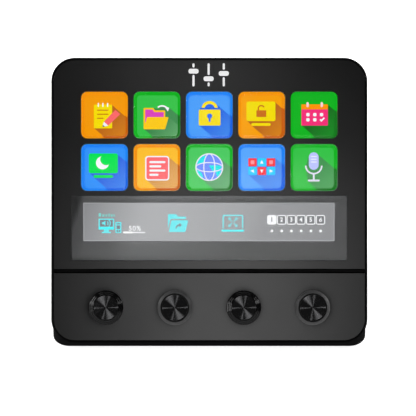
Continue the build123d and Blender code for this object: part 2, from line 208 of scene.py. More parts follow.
def board_material():
    m, nt, p = new_mat("solder_mask")
    vec = coords(nt)
    vor = add(nt, "TexVoronoi", Scale=330.0)
    vor.distance = "MANHATTAN"
    vor.feature = "DISTANCE_TO_EDGE"
    nt.links.new(vec, vor.inputs["Vector"])
    track = span(nt, vor.outputs["Distance"], 0.06, 0.09, 1.0, 0.0)
    cloud = noise(nt, vec, 90.0, 3.0)
    base = mix(nt, cloud, (0.006, 0.045, 0.022, 1), (0.010, 0.065, 0.032, 1))
    nt.links.new(mix(nt, track, base, (0.03, 0.13, 0.06, 1)), p.inputs["Base Color"])
    nt.links.new(span(nt, cloud, 0.3, 0.7, 0.26, 0.38), p.inputs["Roughness"])
    bump(nt, p, track, 2e-5)
    return m


def film_material():
    m, nt, p = new_mat("flex_film")
    vec = coords(nt)
    sep = nt.nodes.new("ShaderNodeSeparateXYZ")
    nt.links.new(vec, sep.inputs[0])
    lines = math(nt, "LESS_THAN", math(nt, "FRACT", math(nt, "MULTIPLY", sep.outputs[0], 1000.0)), 0.5)
    nt.links.new(mix(nt, lines, (0.30, 0.11, 0.02, 1), (0.55, 0.26, 0.06, 1)), p.inputs["Base Color"])
    nt.links.new(span(nt, noise(nt, vec, 300.0), 0.3, 0.7, 0.2, 0.35), p.inputs["Roughness"])
    return m


def panel_material():
    """Dark face of a display that is not lit."""
    m, nt, p = new_mat("display_dark")
    vec = coords(nt)
    nt.links.new(mix(nt, noise(nt, vec, 60.0), (0.003, 0.003, 0.0035, 1), (0.005, 0.005, 0.006, 1)), p.inputs["Base Color"])
    nt.links.new(span(nt, noise(nt, vec, 500.0), 0.3, 0.7, 0.3, 0.45), p.inputs["Roughness"])
    return m


def lipped_material(name, y0, y1, rear_dark, rear_light):
    """Textured matt black, with painted shade: much darker at the front lip, greyer towards the back."""
    m, nt, p = new_mat(name)
    vec = coords(nt)
    sep = nt.nodes.new("ShaderNodeSeparateXYZ")
    nt.links.new(vec, sep.inputs[0])
    # painted shade: the tone runs darker towards the front lip, where the part sits in shade
    back = span(nt, sep.outputs[1], y0, y1, 0.0, 1.0)
    cloud, fine = noise(nt, vec, 38.0, 4.0), noise(nt, vec, 2000.0, 2.0, 0.6)
    tone = math(nt, "MULTIPLY_ADD", cloud, 0.6, math(nt, "MULTIPLY", fine, 0.4))
    lip = mix(nt, tone, (0.0020, 0.0020, 0.0021, 1), (0.0040, 0.0040, 0.0042, 1))
    rear = mix(nt, tone, (rear_dark, rear_dark, rear_dark * 1.03, 1), (rear_light, rear_light, rear_light * 1.03, 1))
    nt.links.new(mix(nt, back, lip, rear), p.inputs["Base Color"])
    nt.links.new(span(nt, cloud, 0.3, 0.7, 0.56, 0.66), p.inputs["Roughness"])
    p.inputs["Specular IOR Level"].default_value = 0.0
    bump(nt, p, fine, 2.0e-5)
    return m


def ramp_of(nt, value, lo, hi, stops, tone):
    """A run of tones along one value: stops are (value, tone) pairs between lo and hi."""
    ramp = nt.nodes.new("ShaderNodeValToRGB")
    while len(ramp.color_ramp.elements) < len(stops):
        ramp.color_ramp.elements.new(0.5)
    for e, (pos, g) in zip(ramp.color_ramp.elements, stops):
        e.position, e.color = (pos - lo) / (hi - lo), tone(g)
    nt.links.new(span(nt, value, lo * MM, hi * MM, 0.0, 1.0), ramp.inputs[0])
    return ramp.outputs[0]


def mask_material():
    """Printed border behind the glass: grey ink, with painted light: a lighter slanting band left of the middle and
    painted shade towards the left end.
    """
    m, nt, p = new_mat("mask_ink")
    vec = coords(nt)
    along = nt.nodes.new("ShaderNodeVectorMath")
    along.operation = "DOT_PRODUCT"
    nt.links.new(vec, along.inputs[0])
    along.inputs[1].default_value = (1.0, -0.34 * C, -0.34 * S)
    run = math(nt, "ADD", along.outputs["Value"], 0.34 * (ORIGIN.y * C + ORIGIN.z * S + 52.5 * MM))
    # painted light and shade: the stops give a lighter slanting band left of the middle and a darker left end
    stops = ((-60.4, 0.062), (-57.9, 0.162), (-53, 0.174), (-40, 0.211), (-29, 0.293), (-17, 0.280), (18, 0.183), (60, 0.189))
    tone = ramp_of(nt, run, -64.0, 64.0, stops, lambda g: (g, g, g * 1.01, 1))
    # painted light: the tone is lifted towards white along the lower edge
    up = nt.nodes.new("ShaderNodeVectorMath")
    up.operation = "DOT_PRODUCT"
    nt.links.new(vec, up.inputs[0])
    up.inputs[1].default_value = (0.0, C, S)
    low = span(nt, up.outputs["Value"], ORIGIN.y * C + ORIGIN.z * S + 37.8 * MM, ORIGIN.y * C + ORIGIN.z * S + 44.0 * MM, 0.05, 0.0)
    tone = mix(nt, low, tone, (1, 1, 1, 1))
    fine = noise(nt, vec, 3000.0, 2.0, 0.6)
    nt.links.new(mix(nt, math(nt, "MULTIPLY", fine, 0.12), tone, (0.02, 0.02, 0.02, 1)), p.inputs["Base Color"])
    nt.links.new(span(nt, fine, 0.3, 0.7, 0.55, 0.65), p.inputs["Roughness"])
    p.inputs["Specular IOR Level"].default_value = 0.05
    bump(nt, p, fine, 4e-6)
    return m


board_mat, film_mat, panel_mat, mask_mat = board_material(), film_material(), panel_material(), mask_material()
stand_mat = lipped_material("stand_black_painted_lip_shade", -0.040, 0.010, 0.0150, 0.0250)
case_mat = lipped_material("case_black_painted_lip_shade", -0.0475, -0.0425, 0.0088, 0.0144)

SCREENS = {}


def grid(nt, vec, pitch=0.00011, line=0.12):
    """1 on the dark lines between a display's picture cells."""
    sep = nt.nodes.new("ShaderNodeSeparateXYZ")
    nt.links.new(vec, sep.inputs[0])
    fx = math(nt, "LESS_THAN", math(nt, "FRACT", math(nt, "MULTIPLY_ADD", sep.outputs[0], 1 / pitch, 5000.0)), line)
    fy = math(nt, "LESS_THAN", math(nt, "FRACT", math(nt, "MULTIPLY_ADD", sep.outputs[1], 1 / pitch, 5000.0)), line)
    return math(nt, "MAXIMUM", fx, fy)


def screen(colour, gain=1.0, fade=None):
    """A lit colour on a display, with the display's cells; fade is a second colour towards the lower right."""
    tag = "lit_" + "_".join(str(int(c)) for c in colour + (fade or ())) + (f"_{int(gain * 100)}" if gain != 1 else "")
    if tag in SCREENS:
        return SCREENS[tag]
    m, nt, p = new_mat(tag)
    vec = coords(nt)
    p.inputs["Base Color"].default_value = (0.006, 0.006, 0.007, 1)
    p.inputs["Roughness"].default_value = 0.4
    p.inputs["Specular IOR Level"].default_value = 0.05
    a = rgb(*colour)
    if fade:
        sep = nt.nodes.new("ShaderNodeSeparateXYZ")
        nt.links.new(vec, sep.inputs[0])
        run = math(nt, "SUBTRACT", sep.outputs[0], sep.outputs[1])
        a = mix(nt, span(nt, run, 0.003, 0.017, 0.0, 1.0), a, rgb(*fade))
    else:
        a = mix(nt, noise(nt, vec, 160.0, 2.0), a, tuple(min(1.0, x * 1.04) for x in a[:3]) + (1,))
    dim = nt.nodes.new("ShaderNodeMix")
    dim.data_type, dim.blend_type = "RGBA", "MULTIPLY"
    nt.links.new(grid(nt, vec), dim.inputs[0])
    nt.links.new(a, dim.inputs[6])
    dim.inputs[7].default_value = (0.72, 0.72, 0.72, 1)
    nt.links.new(dim.outputs[2], p.inputs["Emission Color"])
    p.inputs["Emission Strength"].default_value = 1.07 * gain
    SCREENS[tag] = m
    return m


# ------------------------------------------------------------------ mesh helpers
def ring(cx, cy, w, h, r, z, n=6):
    """A rounded rectangle as one loop of points, anticlockwise seen from outside the face."""
    pts = []
    for k, (sx, sy) in enumerate(((1, 1), (-1, 1), (-1, -1), (1, -1))):
        for i in range(n + 1):
            a = (k + i / n) * pi / 2
            pts.append((cx + sx * (w / 2 - r) + r * cos(a), cy + sy * (h / 2 - r) + r * sin(a), z))
    return pts


def circle_ring(r, z, n, wave=None):
    out = []
    for i in range(n):
        a = 2 * pi * i / n
        rr = r if wave is None else r - wave(i)
        out.append((rr * cos(a), rr * sin(a), z))
    return out


def loft(rings, cap_start=True, cap_end=True):
    n = len(rings[0])
    verts = [p for loop in rings for p in loop]
    faces = []
    for k in range(len(rings) - 1):
        for i in range(n):
            j = (i + 1) % n
            faces.append((k * n + i, k * n + j, (k + 1) * n + j, (k + 1) * n + i))
    bands = [k for k in range(len(rings) - 1) for _ in range(n)]
    if cap_start:
        faces.append(tuple(reversed(range(n))))
        bands.append(-1)
    if cap_end:
        last = (len(rings) - 1) * n
        faces.append(tuple(range(last, last + n)))
        bands.append(-2)
    return verts, faces, bands


def make(name, verts, faces, mats, face_mat=None, smooth=None, matrix=None, body="body", stands_for=()):
    """A piece of the object: points in mm in the matrix's own frame."""
    me = bpy.data.meshes.new(name)
    me.from_pydata([tuple(c * MM for c in v) for v in verts], [], faces)
    me.validate()
    for m in mats:
        me.materials.append(m)
    if face_mat:
        for poly, i in zip(me.polygons, face_mat):
            poly.material_index = i
    if smooth is not None:
        me.polygons.foreach_set("use_smooth", [True] * len(me.polygons))
        me.set_sharp_from_angle(angle=radians(smooth))
    ob = bpy.data.objects.new(name, me)
    bpy.context.scene.collection.objects.link(ob)
    ob.matrix_world = SLAB if matrix is None else matrix
    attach(ob, body)
    if stands_for:
        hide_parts(*stands_for)
    return ob


# ------------------------------------------------------------------ flat pictures
def rect(x0, y0, x1, y1, r=0.0, n=5):
    if r <= 0:
        return [(x0, y0), (x1, y0), (x1, y1), (x0, y1)]
    return [p[:2] for p in ring((x0 + x1) / 2, (y0 + y1) / 2, x1 - x0, y1 - y0, r, 0, n)]


def disc(cx, cy, r, n=40, sx=1.0, sy=1.0):
    return [(cx + sx * r * cos(2 * pi * i / n), cy + sy * r * sin(2 * pi * i / n)) for i in range(n)]


def arc(cx, cy, r, a0, a1, n=20, sx=1.0, sy=1.0):
    return [(cx + sx * r * cos(radians(a0 + (a1 - a0) * i / n)), cy + sy * r * sin(radians(a0 + (a1 - a0) * i / n))) for i in range(n + 1)]


def band(cx, cy, r0, r1, a0, a1, n=20, sx=1.0, sy=1.0):
    return arc(cx, cy, r1, a0, a1, n, sx, sy) + arc(cx, cy, r0, a1, a0, n, sx, sy)


def stroke(x0, y0, x1, y1, w, rounded=True, n=6):
    a = atan2(y1 - y0, x1 - x0)
    r = w / 2
    if not rounded:
        dx, dy = -sin(a) * r, cos(a) * r
        return [(x0 + dx, y0 + dy), (x0 - dx, y0 - dy), (x1 - dx, y1 - dy), (x1 + dx, y1 + dy)]
    out = []
    for cx, cy, b in ((x1, y1, a - pi / 2), (x0, y0, a + pi / 2)):
        out += [(cx + r * cos(b + pi * i / n), cy + r * sin(b + pi * i / n)) for i in range(n + 1)]
    return out


def hull(pts):
    pts = sorted(set(pts))

    def half(seq):
        out = []
        for p in seq:
            while len(out) > 1 and (out[-1][0] - out[-2][0]) * (p[1] - out[-2][1]) - (out[-1][1] - out[-2][1]) * (p[0] - out[-2][0]) <= 1e-9:
                out.pop()
            out.append(p)
        return out[:-1]
    return half(pts) + half(pts[::-1])


def clip(pts, window):
    """A polygon cut to a window without hollows, given anticlockwise."""
    for (ax, ay), (bx, by) in zip(window, window[1:] + window[:1]):
        side = lambda q: (bx - ax) * (q[1] - ay) - (by - ay) * (q[0] - ax)
        out = []
        for a, b in zip(pts, pts[1:] + pts[:1]):
            da, db = side(a), side(b)
            if da >= 0:
                out.append(a)
            if da * db < 0:
                t = da / (da - db)
                out.append((a[0] + (b[0] - a[0]) * t, a[1] + (b[1] - a[1]) * t))
        pts = out
        if not pts:
            return []
    return pts


def glyphs(text, size, cx, cy, bold=0.0, gap=1.0):
    """Plain digits and signs as triangles, centred on a point."""
    cu = bpy.data.curves.new("digits", "FONT")
    cu.body, cu.size, cu.align_x, cu.align_y = text, size, "CENTER", "CENTER"
    cu.offset, cu.space_character = bold, gap
    ob = bpy.data.objects.new("digits", cu)
    bpy.context.scene.collection.objects.link(ob)
    dg = bpy.context.evaluated_depsgraph_get()
    me = bpy.data.meshes.new_from_object(ob.evaluated_get(dg))
    out = [[(cx + me.vertices[i].co.x, cy + me.vertices[i].co.y) for i in p.vertices] for p in me.polygons]
    bpy.data.objects.remove(ob)
    bpy.data.curves.remove(cu)
    bpy.data.meshes.remove(me)
    return out


class Picture:
    """Flat coloured shapes laid over each other, each a hair above the last."""

    def __init__(self):
        self.items, self.layer, self.nudge, self.windows = [], 0, (0.0, 0.0), ()

    def put(self, pts, colour, fade=None, same=False, gain=1.0, held=False):
        if not same:
            self.layer += 1
        if not held:
            pts = [(x + self.nudge[0], y + self.nudge[1]) for x, y in pts]
        area = sum(a[0] * b[1] - b[0] * a[1] for a, b in zip(pts, pts[1:] + pts[:1]))
        self.items.append((pts if area > 0 else pts[::-1], colour, fade, self.layer, gain))

    def shade(self, shape, colour, fade, dx=26.0, dy=-22.5):
        """A long flat shadow of a shape, down to the lower right, darker on the tile's border."""
        shape = [(x + self.nudge[0], y + self.nudge[1]) for x, y in shape]
        whole = hull(shape + [(x + dx, y + dy) for x, y in shape])
        for window, dark in self.windows:
            pts = clip(whole, window)
            if pts:
                self.put(pts, dark or colour, None if dark else fade, held=True)

    def build(self, name, matrix, z0, lift, extra=()):
        verts, faces, mats, face_mat = [], [], [], []
        for pts, colour, fade, layer, gain in self.items:
            m = colour if not isinstance(colour, tuple) else screen(colour, gain, fade)
            if m not in mats:
                mats.append(m)
            start = len(verts)
            verts += [(x, y, z0 + lift * layer) for x, y in pts]
            faces.append(tuple(range(start, start + len(pts))))
            face_mat.append(mats.index(m))
        return make(name, verts, faces, mats, face_mat, None, matrix)


# ------------------------------------------------------------------ CAD nodes that stay: their finish
FINISH = {
    front_mat: ("front_bezel", "knob_panel"), case_mat: ("mid_frame",), rear_mat: ("rear_cover",), stand_mat: ("stand_shell", "base_plate"),
    rubber_mat: ("rubber_feet",), glass_mat: ("touch_glass",), mask_mat: ("glass_mask",), foam_mat: ("strip_gasket",),
    panel_mat: ("strip_lcd", "key_lcd"), film_mat: ("strip_flex", "key_lcd_flex", "encoder_flex"), membrane_mat: ("key_membrane",),
    board_mat: ("key_board", "main_board", "encoder_board"), package_mat: ("board_components",),
    steel_mat: ("lcd_clamp_plate", "usb_c_port", "encoder_domes"), plated_mat: ("encoder_housings", "encoder_washers", "encoder_nuts"),
    encoder_plastic_mat: ("encoder_bases", "encoder_plunger_1", "encoder_plunger_2", "encoder_plunger_3", "encoder_plunger_4"),
    shaft_mat: ("encoder_shaft_1", "encoder_shaft_2", "encoder_shaft_3", "encoder_shaft_4"),
    screw_mat: ("case_screws", "clamp_screws", "board_screws", "stand_screws", "base_screws"),
}
for m, names in FINISH.items():
    for name in names:
        me = nodes[name].data
        me.materials.clear()
        me.materials.append(m)

# ------------------------------------------------------------------ key caps
key_xv = [((c - 2) * KEY_PITCH, KEY_MID_V + (0.5 - r) * KEY_PITCH) for r in range(2) for c in range(5)]
for i, (x, v) in enumerate(key_xv, 1):
    loops = [ring(0, 0, 20.1, 20.1, 2.5, -5.0), ring(0, 0, KEY_SIZE, KEY_SIZE, KEY_R, -4.9),
             ring(0, 0, KEY_SIZE, KEY_SIZE, KEY_R, -3.1), ring(0, 0, 21.9, 21.9, 2.8, -3.1),
             ring(0, 0, 21.9, 21.9, 2.8, -2.1), ring(0, 0, KEY_SIZE, KEY_SIZE, KEY_R, -2.1)]
    for inset, w in ((0.0, 0.85), (0.02, 1.08), (0.08, 1.25), (0.18, 1.36), (0.28, 1.395), (1.20, 1.575), (1.34, 1.6), (1.44, 1.6)):
        loops.append(ring(0, 0, KEY_SIZE - 2 * inset, KEY_SIZE - 2 * inset, KEY_R - inset, w))
    verts, faces, _ = loft(loops)
    make(f"key_cap_{i}", verts, faces, [key_mat], None, 35.0, SLAB @ Matrix.Translation((x * MM, v * MM, 0)),
         f"key_{i}", (f"key_{i}",))

# ------------------------------------------------------------------ key pictures
ORANGE, GREEN, BLUE = (244, 154, 0), (52, 192, 70), (68, 155, 246)
YELLOW, WHITE = (244, 220, 0), (246, 246, 250)
TILE, FACE = 9.93, 8.75
# painted reflection: each tile's rim is drawn in a purer colour than its face, the face paler as under a cap's mirrored
# top face, the rim as seen through its bevel
PAINTED_BEVEL_RIMS = {"o": ((242, 145, 1), (200, 92, 1)), "g": ((8, 176, 26), (18, 116, 26)), "b": ((22, 128, 242), (14, 96, 226))}
NUDGE = ((0, 0.22), (0, 0.22), (0, 0.22), (0, 0.22), (0, 0.22), (-0.42, 0.32), (0, 0.2), (0, 0.2), (0, 0.25), (0, 0.25))


def tile(colour, edge):
    p = Picture()
    pure, dark = PAINTED_BEVEL_RIMS[edge]
    # painted reflection: a purer rim round a paler face
    outer, inner = rect(-TILE, -TILE, TILE, TILE, 2.4), rect(-FACE, -FACE, FACE, FACE, 1.5)
    p.put(outer, pure)
    p.put(inner, colour)
    p.windows = ((outer, dark), (inner, None))
    p.nudge = NUDGE[len(pictures)]
    return p


def notes():
    p = tile(ORANGE, "o")
    pad = rect(-4.8, -5.9, 3.2, 4.45, 0.35)
    p.shade(pad + [(6.7, 0.4), (4.6, 2.1)], (184, 98, 22), (214, 130, 26))
    p.put(pad, YELLOW)
    for x in (-2.85, -0.85, 1.2):
        p.put(stroke(x, 3.75, x, 5.0, 0.55), WHITE, same=x > -2.8)
    for y, x1 in ((2.05, 1.55), (0.28, 1.55), (-1.5, -0.6)):
        p.put(stroke(-3.4, y, x1, y, 0.42, False), (190, 96, 8), same=y < 2)
    p.put([(4.6, 2.15), (6.72, 0.3), (1.5, -4.7), (-0.4, -2.95)], (250, 104, 104))
    p.put([(-0.4, -2.95), (1.5, -4.7), (-1.1, -5.35)], (238, 240, 248))
    p.put([(-0.8, -4.45), (0.05, -5.05), (-1.1, -5.35)], (40, 44, 90))
    return p


def folder():
    p = tile(GREEN, "g")
    back = [(-5.9, 2.7), (-5.6, 3.05), (-1.7, 3.05), (-0.8, 1.95), (3.2, 1.95), (3.55, 1.6), (3.55, -1.5), (-5.4, -6.0), (-5.9, -5.8)]
    front = [(-4.35, -0.95), (4.7, -0.95), (5.0, -1.25), (3.6, -6.05), (3.25, -6.3), (-5.6, -6.3), (-5.9, -6.0)]
    p.shade(back + front, (58, 132, 72), (96, 166, 106))
    for piece in (band(2.2, 0.9, 2.6, 3.4, 40, 128), [(3.3, 3.3), (5.5, 3.0), (4.55, 1.15)]):
        p.shade(piece, (62, 140, 78), (62, 140, 78), dx=9, dy=-7.8)
    p.put(back, (252, 196, 22))
    p.put([(-5.2, 2.35), (-2.05, 2.35), (-1.15, 1.2), (2.95, 1.2), (2.95, -2.2), (-5.2, -4.4)], (216, 68, 186))
    p.put(front, (253, 201, 22))
    p.put(band(2.2, 0.9, 2.65, 3.35, 48, 128), WHITE)
    p.put([(3.1, 3.75), (5.3, 3.1), (4.75, 1.5)], WHITE, same=True)
    return p


def padlock():
    p = tile(BLUE, "b")
    body = rect(-4.6, -4.7, 4.9, 2.3, 0.6)
    p.shade(body + arc(0.15, 2.5, 3.6, 10, 170), (24, 98, 225), (60, 138, 235))
    p.put(arc(0.15, 2.5, 2.25, 164.5, 15.5) + arc(0.15, 2.5, 3.6, 9.6, 170.4), YELLOW)
    p.put(body, YELLOW, same=True)
    p.put(disc(0.15, -0.55, 1.12), (42, 108, 236))
    p.put(stroke(0.15, -0.9, 0.15, -2.7, 0.85), (42, 108, 236), same=True)
    return p


def screen_icon(colour, stand, tile_colour, edge, dark, fade):
    p = tile(tile_colour, edge)
    top = rect(-6.6, -2.75, 6.1, 5.85, 0.9)
    bar = stroke(-3.9, -4.2, 3.4, -4.2, 1.25)
    p.shade(top + bar, dark, fade)
    p.put(top, colour)
    p.put(bar, stand, same=True)
    return p


def open_lock():
    p = screen_icon((242, 220, 0), (242, 220, 0), (246, 160, 0), "o", (186, 98, 26), (216, 134, 24))
    p.put(rect(-2.25, -0.95, 2.05, 2.0, 0.15), (200, 108, 26))
    p.put([(-1.65, 1.8), (-1.1, 1.8)] + arc(-0.1, 2.75, 1.0, 180, 25) + arc(-0.1, 2.75, 1.6, 25, 180), (200, 108, 26), same=True)
    return p


def calendar():
    p = tile((12, 178, 28), "g")
    body = rect(-5.45, -4.7, 6.2, 4.6, 0.3)
    p.shade(body, (20, 104, 26), (26, 140, 36))
    p.put(body, (242, 46, 118))
    p.put(rect(-5.45, 2.4, 6.2, 4.6, 0.3), (250, 146, 0))
    for x in (-2.7, 3.5):
        p.put(stroke(x, 3.9, x, 5.1, 1.05), (255, 206, 214), same=x > 0)
    for x, y in ((-2.55, 0.1), (0.45, 0.1), (3.4, 0.1), (-2.55, -2.15), (0.45, -2.15)):
        p.put(rect(x - 0.75, y - 0.75, x + 0.75, y + 0.75, 0.55), WHITE, same=True)
    p.put([(2.55, -2.25), (3.0, -1.75), (3.35, -2.1), (4.4, -1.05), (4.85, -1.5), (3.35, -3.05)], WHITE, same=True)
    return p


def night():
    p = screen_icon((2, 226, 82), (2, 226, 82), (50, 146, 246), "b", (52, 104, 226), (66, 136, 238))
    outer = arc(-0.6, 1.75, 2.85, 100, 345, 36)
    inner = arc(0.95, 3.3, 2.55, 300, 150, 26)
    p.put(outer + inner, WHITE)
    return p


def paragraph():
    p = tile((253, 190, 46), "o")
    frame_ = rect(-5.2, -5.85, 5.35, 4.9, 1.3)
    p.shade(frame_, (214, 152, 78), (232, 172, 92))
    p.put(frame_, (246, 244, 252))
    p.put(rect(-4.65, -5.3, 4.8, 4.35, 0.9), (255, 108, 112))
    for y, x1 in ((2.2, 3.2), (0.35, 1.4), (-1.5, 3.2), (-3.35, 0.2)):
        p.put(stroke(-2.9, y, x1, y, 0.95), WHITE, same=y < 2)
    return p


def globe():
    p = tile((72, 200, 94), "g")
    pale = (234, 234, 244)
    ball = disc(0.0, 0.0, 6.1, 56)
    p.shade(ball, (92, 156, 106), (102, 178, 116))
    p.put(ball, pale)
    p.put(disc(0, 0, 5.6, 56), (112, 144, 255))
    lands = ([(-5.45, 1.3), (-4.9, 2.7), (-3.7, 4.2), (-1.9, 5.2), (-1.5, 4.4), (-1.95, 3.2), (-2.3, 1.9), (-4.2, 1.6)],
             [(0.0, 0.75), (2.3, 0.8), (4.5, 0.75), (5.55, 0.1), (4.3, -1.15), (2.3, -1.75), (1.3, -1.6), (0.8, -0.6), (0.1, 0.1)],
             [(-5.45, -1.2), (-4.2, -1.75), (-3.2, -2.8), (-2.6, -4.7), (-3.6, -4.25), (-4.9, -2.7)],
             [(5.4, -1.2), (4.2, -1.8), (2.7, -2.0), (3.1, -3.2), (3.5, -4.35), (4.6, -3.2)])
    for k, pts in enumerate(lands):
        p.put(pts, (22, 230, 232), same=k > 0)
    for k, (rx, ry) in enumerate(((2.4, 5.8), (5.8, 2.0))):
        for t0 in (0, 180):
            p.put(arc(0, 0, 1, t0, t0 + 180, 28, rx + 0.23, ry + 0.23) + arc(0, 0, 1, t0 + 180, t0, 28, rx - 0.23, ry - 0.23), pale, same=k + t0 > 0)
    return p


def keypad():
    p = tile((88, 166, 252), "b")
    blocks = ((-5.8, 0.35, -2.1, 3.85, (255, 56, 66)), (-1.75, 0.35, 1.95, 3.85, (34, 206, 255)), (2.3, 0.35, 6.0, 3.85, (255, 56, 66)),
              (-5.8, -3.5, -2.1, 0.0, (34, 206, 255)), (-1.75, -3.5, 1.95, 0.0, (255, 56, 66)), (2.3, -3.5, 6.0, 0.0, (34, 206, 255)))
    p.shade(rect(-5.8, -3.5, 6.0, 3.85), (72, 134, 232), (84, 152, 244))
    for x0, y0, x1, y1, colour in blocks:
        p.put(rect(x0, y0, x1, y1, 0.35), colour, same=x0 > -5.8 or y0 < 0)
    ux, uy, r = 0.1, 2.1, 0.95
    arrows = (((0.1, 2.1), 90), ((-3.95, -1.75), 180), ((0.1, -1.75), 270), ((4.15, -1.75), 0))
    for k, ((cx, cy), a) in enumerate(arrows):
        p.put([(cx + r * cos(radians(a + t)), cy + r * sin(radians(a + t))) for t in (0, 130, 230)], WHITE, same=k > 0)
    for k, cx in enumerate((-3.95, 4.15)):
        p.put(rect(cx - 0.8, 1.3, cx + 0.8, 2.9, 0.2), (255, 150, 156), same=True)
    return p


def microphone():
    p = tile(GREEN, "g")
    cap = stroke(0, 0.9, 0, 4.3, 4.3, True, 12)
    p.shade(cap + [(-3.6, 0.2), (3.6, 0.2), (2.6, -6.3), (-2.6, -6.3)], (66, 148, 80), (84, 166, 96))
    p.put(band(0, 0.6, 3.15, 3.85, 180, 360, 24), (226, 224, 240))
    p.put(rect(-0.4, -5.6, 0.4, -3.0), (226, 224, 240), same=True)
    p.put(stroke(-2.2, -5.9, 2.2, -5.9, 0.85), (226, 224, 240), same=True)
    p.put(cap, (188, 196, 250))
    for y in (4.6, 3.4, 2.2):
        p.put(stroke(-1.1, y, 1.1, y, 0.45), (236, 238, 255), same=y < 4)
    return p


pictures = []
for (x, v), draw in zip(key_xv, (notes, folder, padlock, open_lock, calendar, night, paragraph, globe, keypad, microphone)):
    pictures.append(draw())
    pictures[-1].build(f"key_picture_{len(pictures)}", SLAB @ Matrix.Translation((x * MM, v * MM, 0)), -7.085, 0.006)


# ------------------------------------------------------------------ touch strip picture
def strip_background():
    m, nt, p = new_mat("lit_strip_painted_light")
    vec = coords(nt)
    sep = nt.nodes.new("ShaderNodeSeparateXYZ")
    nt.links.new(vec, sep.inputs[0])
    p.inputs["Base Color"].default_value = (0.01, 0.01, 0.011, 1)
    p.inputs["Roughness"].default_value = 0.4
    p.inputs["Specular IOR Level"].default_value = 0.05
    # painted light: the stops give a lighter slanting band left of the middle across the lit picture, darker towards
    # the left end
    stops = ((-56, 142), (-30, 177), (-24, 177), (19, 158), (23, 150), (52, 147))
    slant = math(nt, "MULTIPLY_ADD", sep.outputs[1], -0.34, sep.outputs[0])
    tone = ramp_of(nt, slant, -60.0, 60.0, stops, lambda g: rgb(g, g + 0.5, g + 2.5))
    dim = nt.nodes.new("ShaderNodeMix")
    dim.data_type, dim.blend_type = "RGBA", "MULTIPLY"
    nt.links.new(grid(nt, vec, 0.00012), dim.inputs[0])
    nt.links.new(tone, dim.inputs[6])
    dim.inputs[7].default_value = (0.8, 0.8, 0.8, 1)
    nt.links.new(dim.outputs[2], p.inputs["Emission Color"])
    p.inputs["Emission Strength"].default_value = 1.0
    return m


def px(x, y):
    """A place on the face from the picture's own layout, to x and v about the strip's middle."""
    return (x - 209.1) / 2.2848, (342.0 - y) / 2.2848 - 52.52


def pxs(pts):
    return [px(*p) for p in pts]


CYAN, PALE = (112, 232, 238), (250, 250, 252)
strip = Picture()
strip_mat = strip_background()
strip.put(rect(-55.2, -8.75, 55.2, 8.75), strip_mat)
# painted highlight: thin lighter lines along the four edges of the lit area
for box_ in ((-54.9, 8.15, 54.76, 8.52), (-54.9, -8.3, 54.76, -7.98), (-54.9, -8.3, -54.6, 8.52), (54.46, -8.3, 54.76, 8.52)):
    strip.put(rect(*box_), (176, 177, 179), same=box_[0] > 0 or box_[1] < 8)
# a darker grey margin below and at the right
strip.put(rect(-55.2, -8.75, 54.77, -8.3), (90, 90, 92), same=True)
strip.put(rect(54.77, -8.75, 55.2, 8.75), (80, 80, 82), same=True)

# desktop screen with a speaker on it, and a tower beside it
for k, (x0, x1, y0) in enumerate(((98.9, 101.4, 213.2), (102.6, 104.6, 214.3), (105.8, 107.4, 214.3), (108.6, 110.0, 213.4), (111.2, 112.9, 214.3), (113.9, 115.0, 214.3))):
    strip.put(rect(*px(x0, 216.7), *px(x1, y0), 0.12), (122, 210, 204), same=k > 0)
strip.put(rect(*px(98.8, 229.6), *px(114.4, 218.6), 0.35), CYAN, same=True)
strip.put(rect(*px(100.1, 226.6), *px(113.1, 219.8), 0.1), (128, 130, 136))
strip.put(rect(*px(98.8, 229.6), *px(114.4, 226.9), 0.2), (84, 246, 250), same=True)
strip.put(pxs([(104.4, 229.6), (108.8, 229.6), (109.6, 232.0), (103.6, 232.0)]), CYAN, same=True)
strip.put(rect(*px(102.0, 233.1), *px(111.2, 231.8), 0.1), CYAN, same=True)
strip.put(pxs([(102.2, 222.2), (103.7, 222.2), (105.7, 220.6), (105.7, 225.8), (103.7, 224.2), (102.2, 224.2)]), CYAN)
cx_, cy_ = px(105.9, 223.2)
for r_ in (0.85, 1.8):
    strip.put(band(cx_, cy_, r_, r_ + 0.42, -48, 48, 10), CYAN, same=True)
strip.put(rect(*px(115.6, 233.0), *px(121.6, 222.0), 0.35), CYAN, same=True)
for y0_, y1_ in ((224.4, 223.3), (229.0, 225.4), (232.1, 230.1)):
    strip.put(rect(*px(116.8, y0_), *px(120.4, y1_), 0.1), (130, 132, 138), same=y0_ > 225)
strip.put(disc(*px(118.6, 231.1), 0.3, 14), CYAN)
# level
for tri in glyphs("50%", 3.0, *px(135.0, 228.5), 0.05, 1.12):
    strip.put(tri, PALE, same=True)
strip.put(stroke(*px(124.2, 232.4), *px(144.8, 232.4), 0.62), (236, 236, 238), same=True)
strip.put(stroke(*px(124.2, 232.4), *px(132.4, 232.4), 0.86), (255, 255, 255))
# shared folder
strip.put(pxs([(168.0, 228.8), (168.0, 215.0), (168.8, 214.1), (176.4, 214.1), (178.0, 216.6), (185.4, 216.6), (186.2, 217.4), (186.2, 218.9),
               (171.6, 218.9), (170.4, 219.8)]), CYAN)
strip.put(pxs([(172.2, 220.2), (187.6, 220.2), (188.2, 220.9), (185.6, 231.4), (184.9, 232.0), (169.6, 232.0), (169.0, 231.3), (171.4, 220.8)]), CYAN, same=True)
strip.put(pxs([(175.6, 228.6), (176.0, 226.3), (177.6, 224.6), (179.4, 224.2), (179.4, 222.8), (182.0, 225.0), (179.4, 227.3), (179.4, 225.9),
               (178.1, 226.2), (177.0, 227.3), (176.8, 228.6)]), (132, 142, 148))
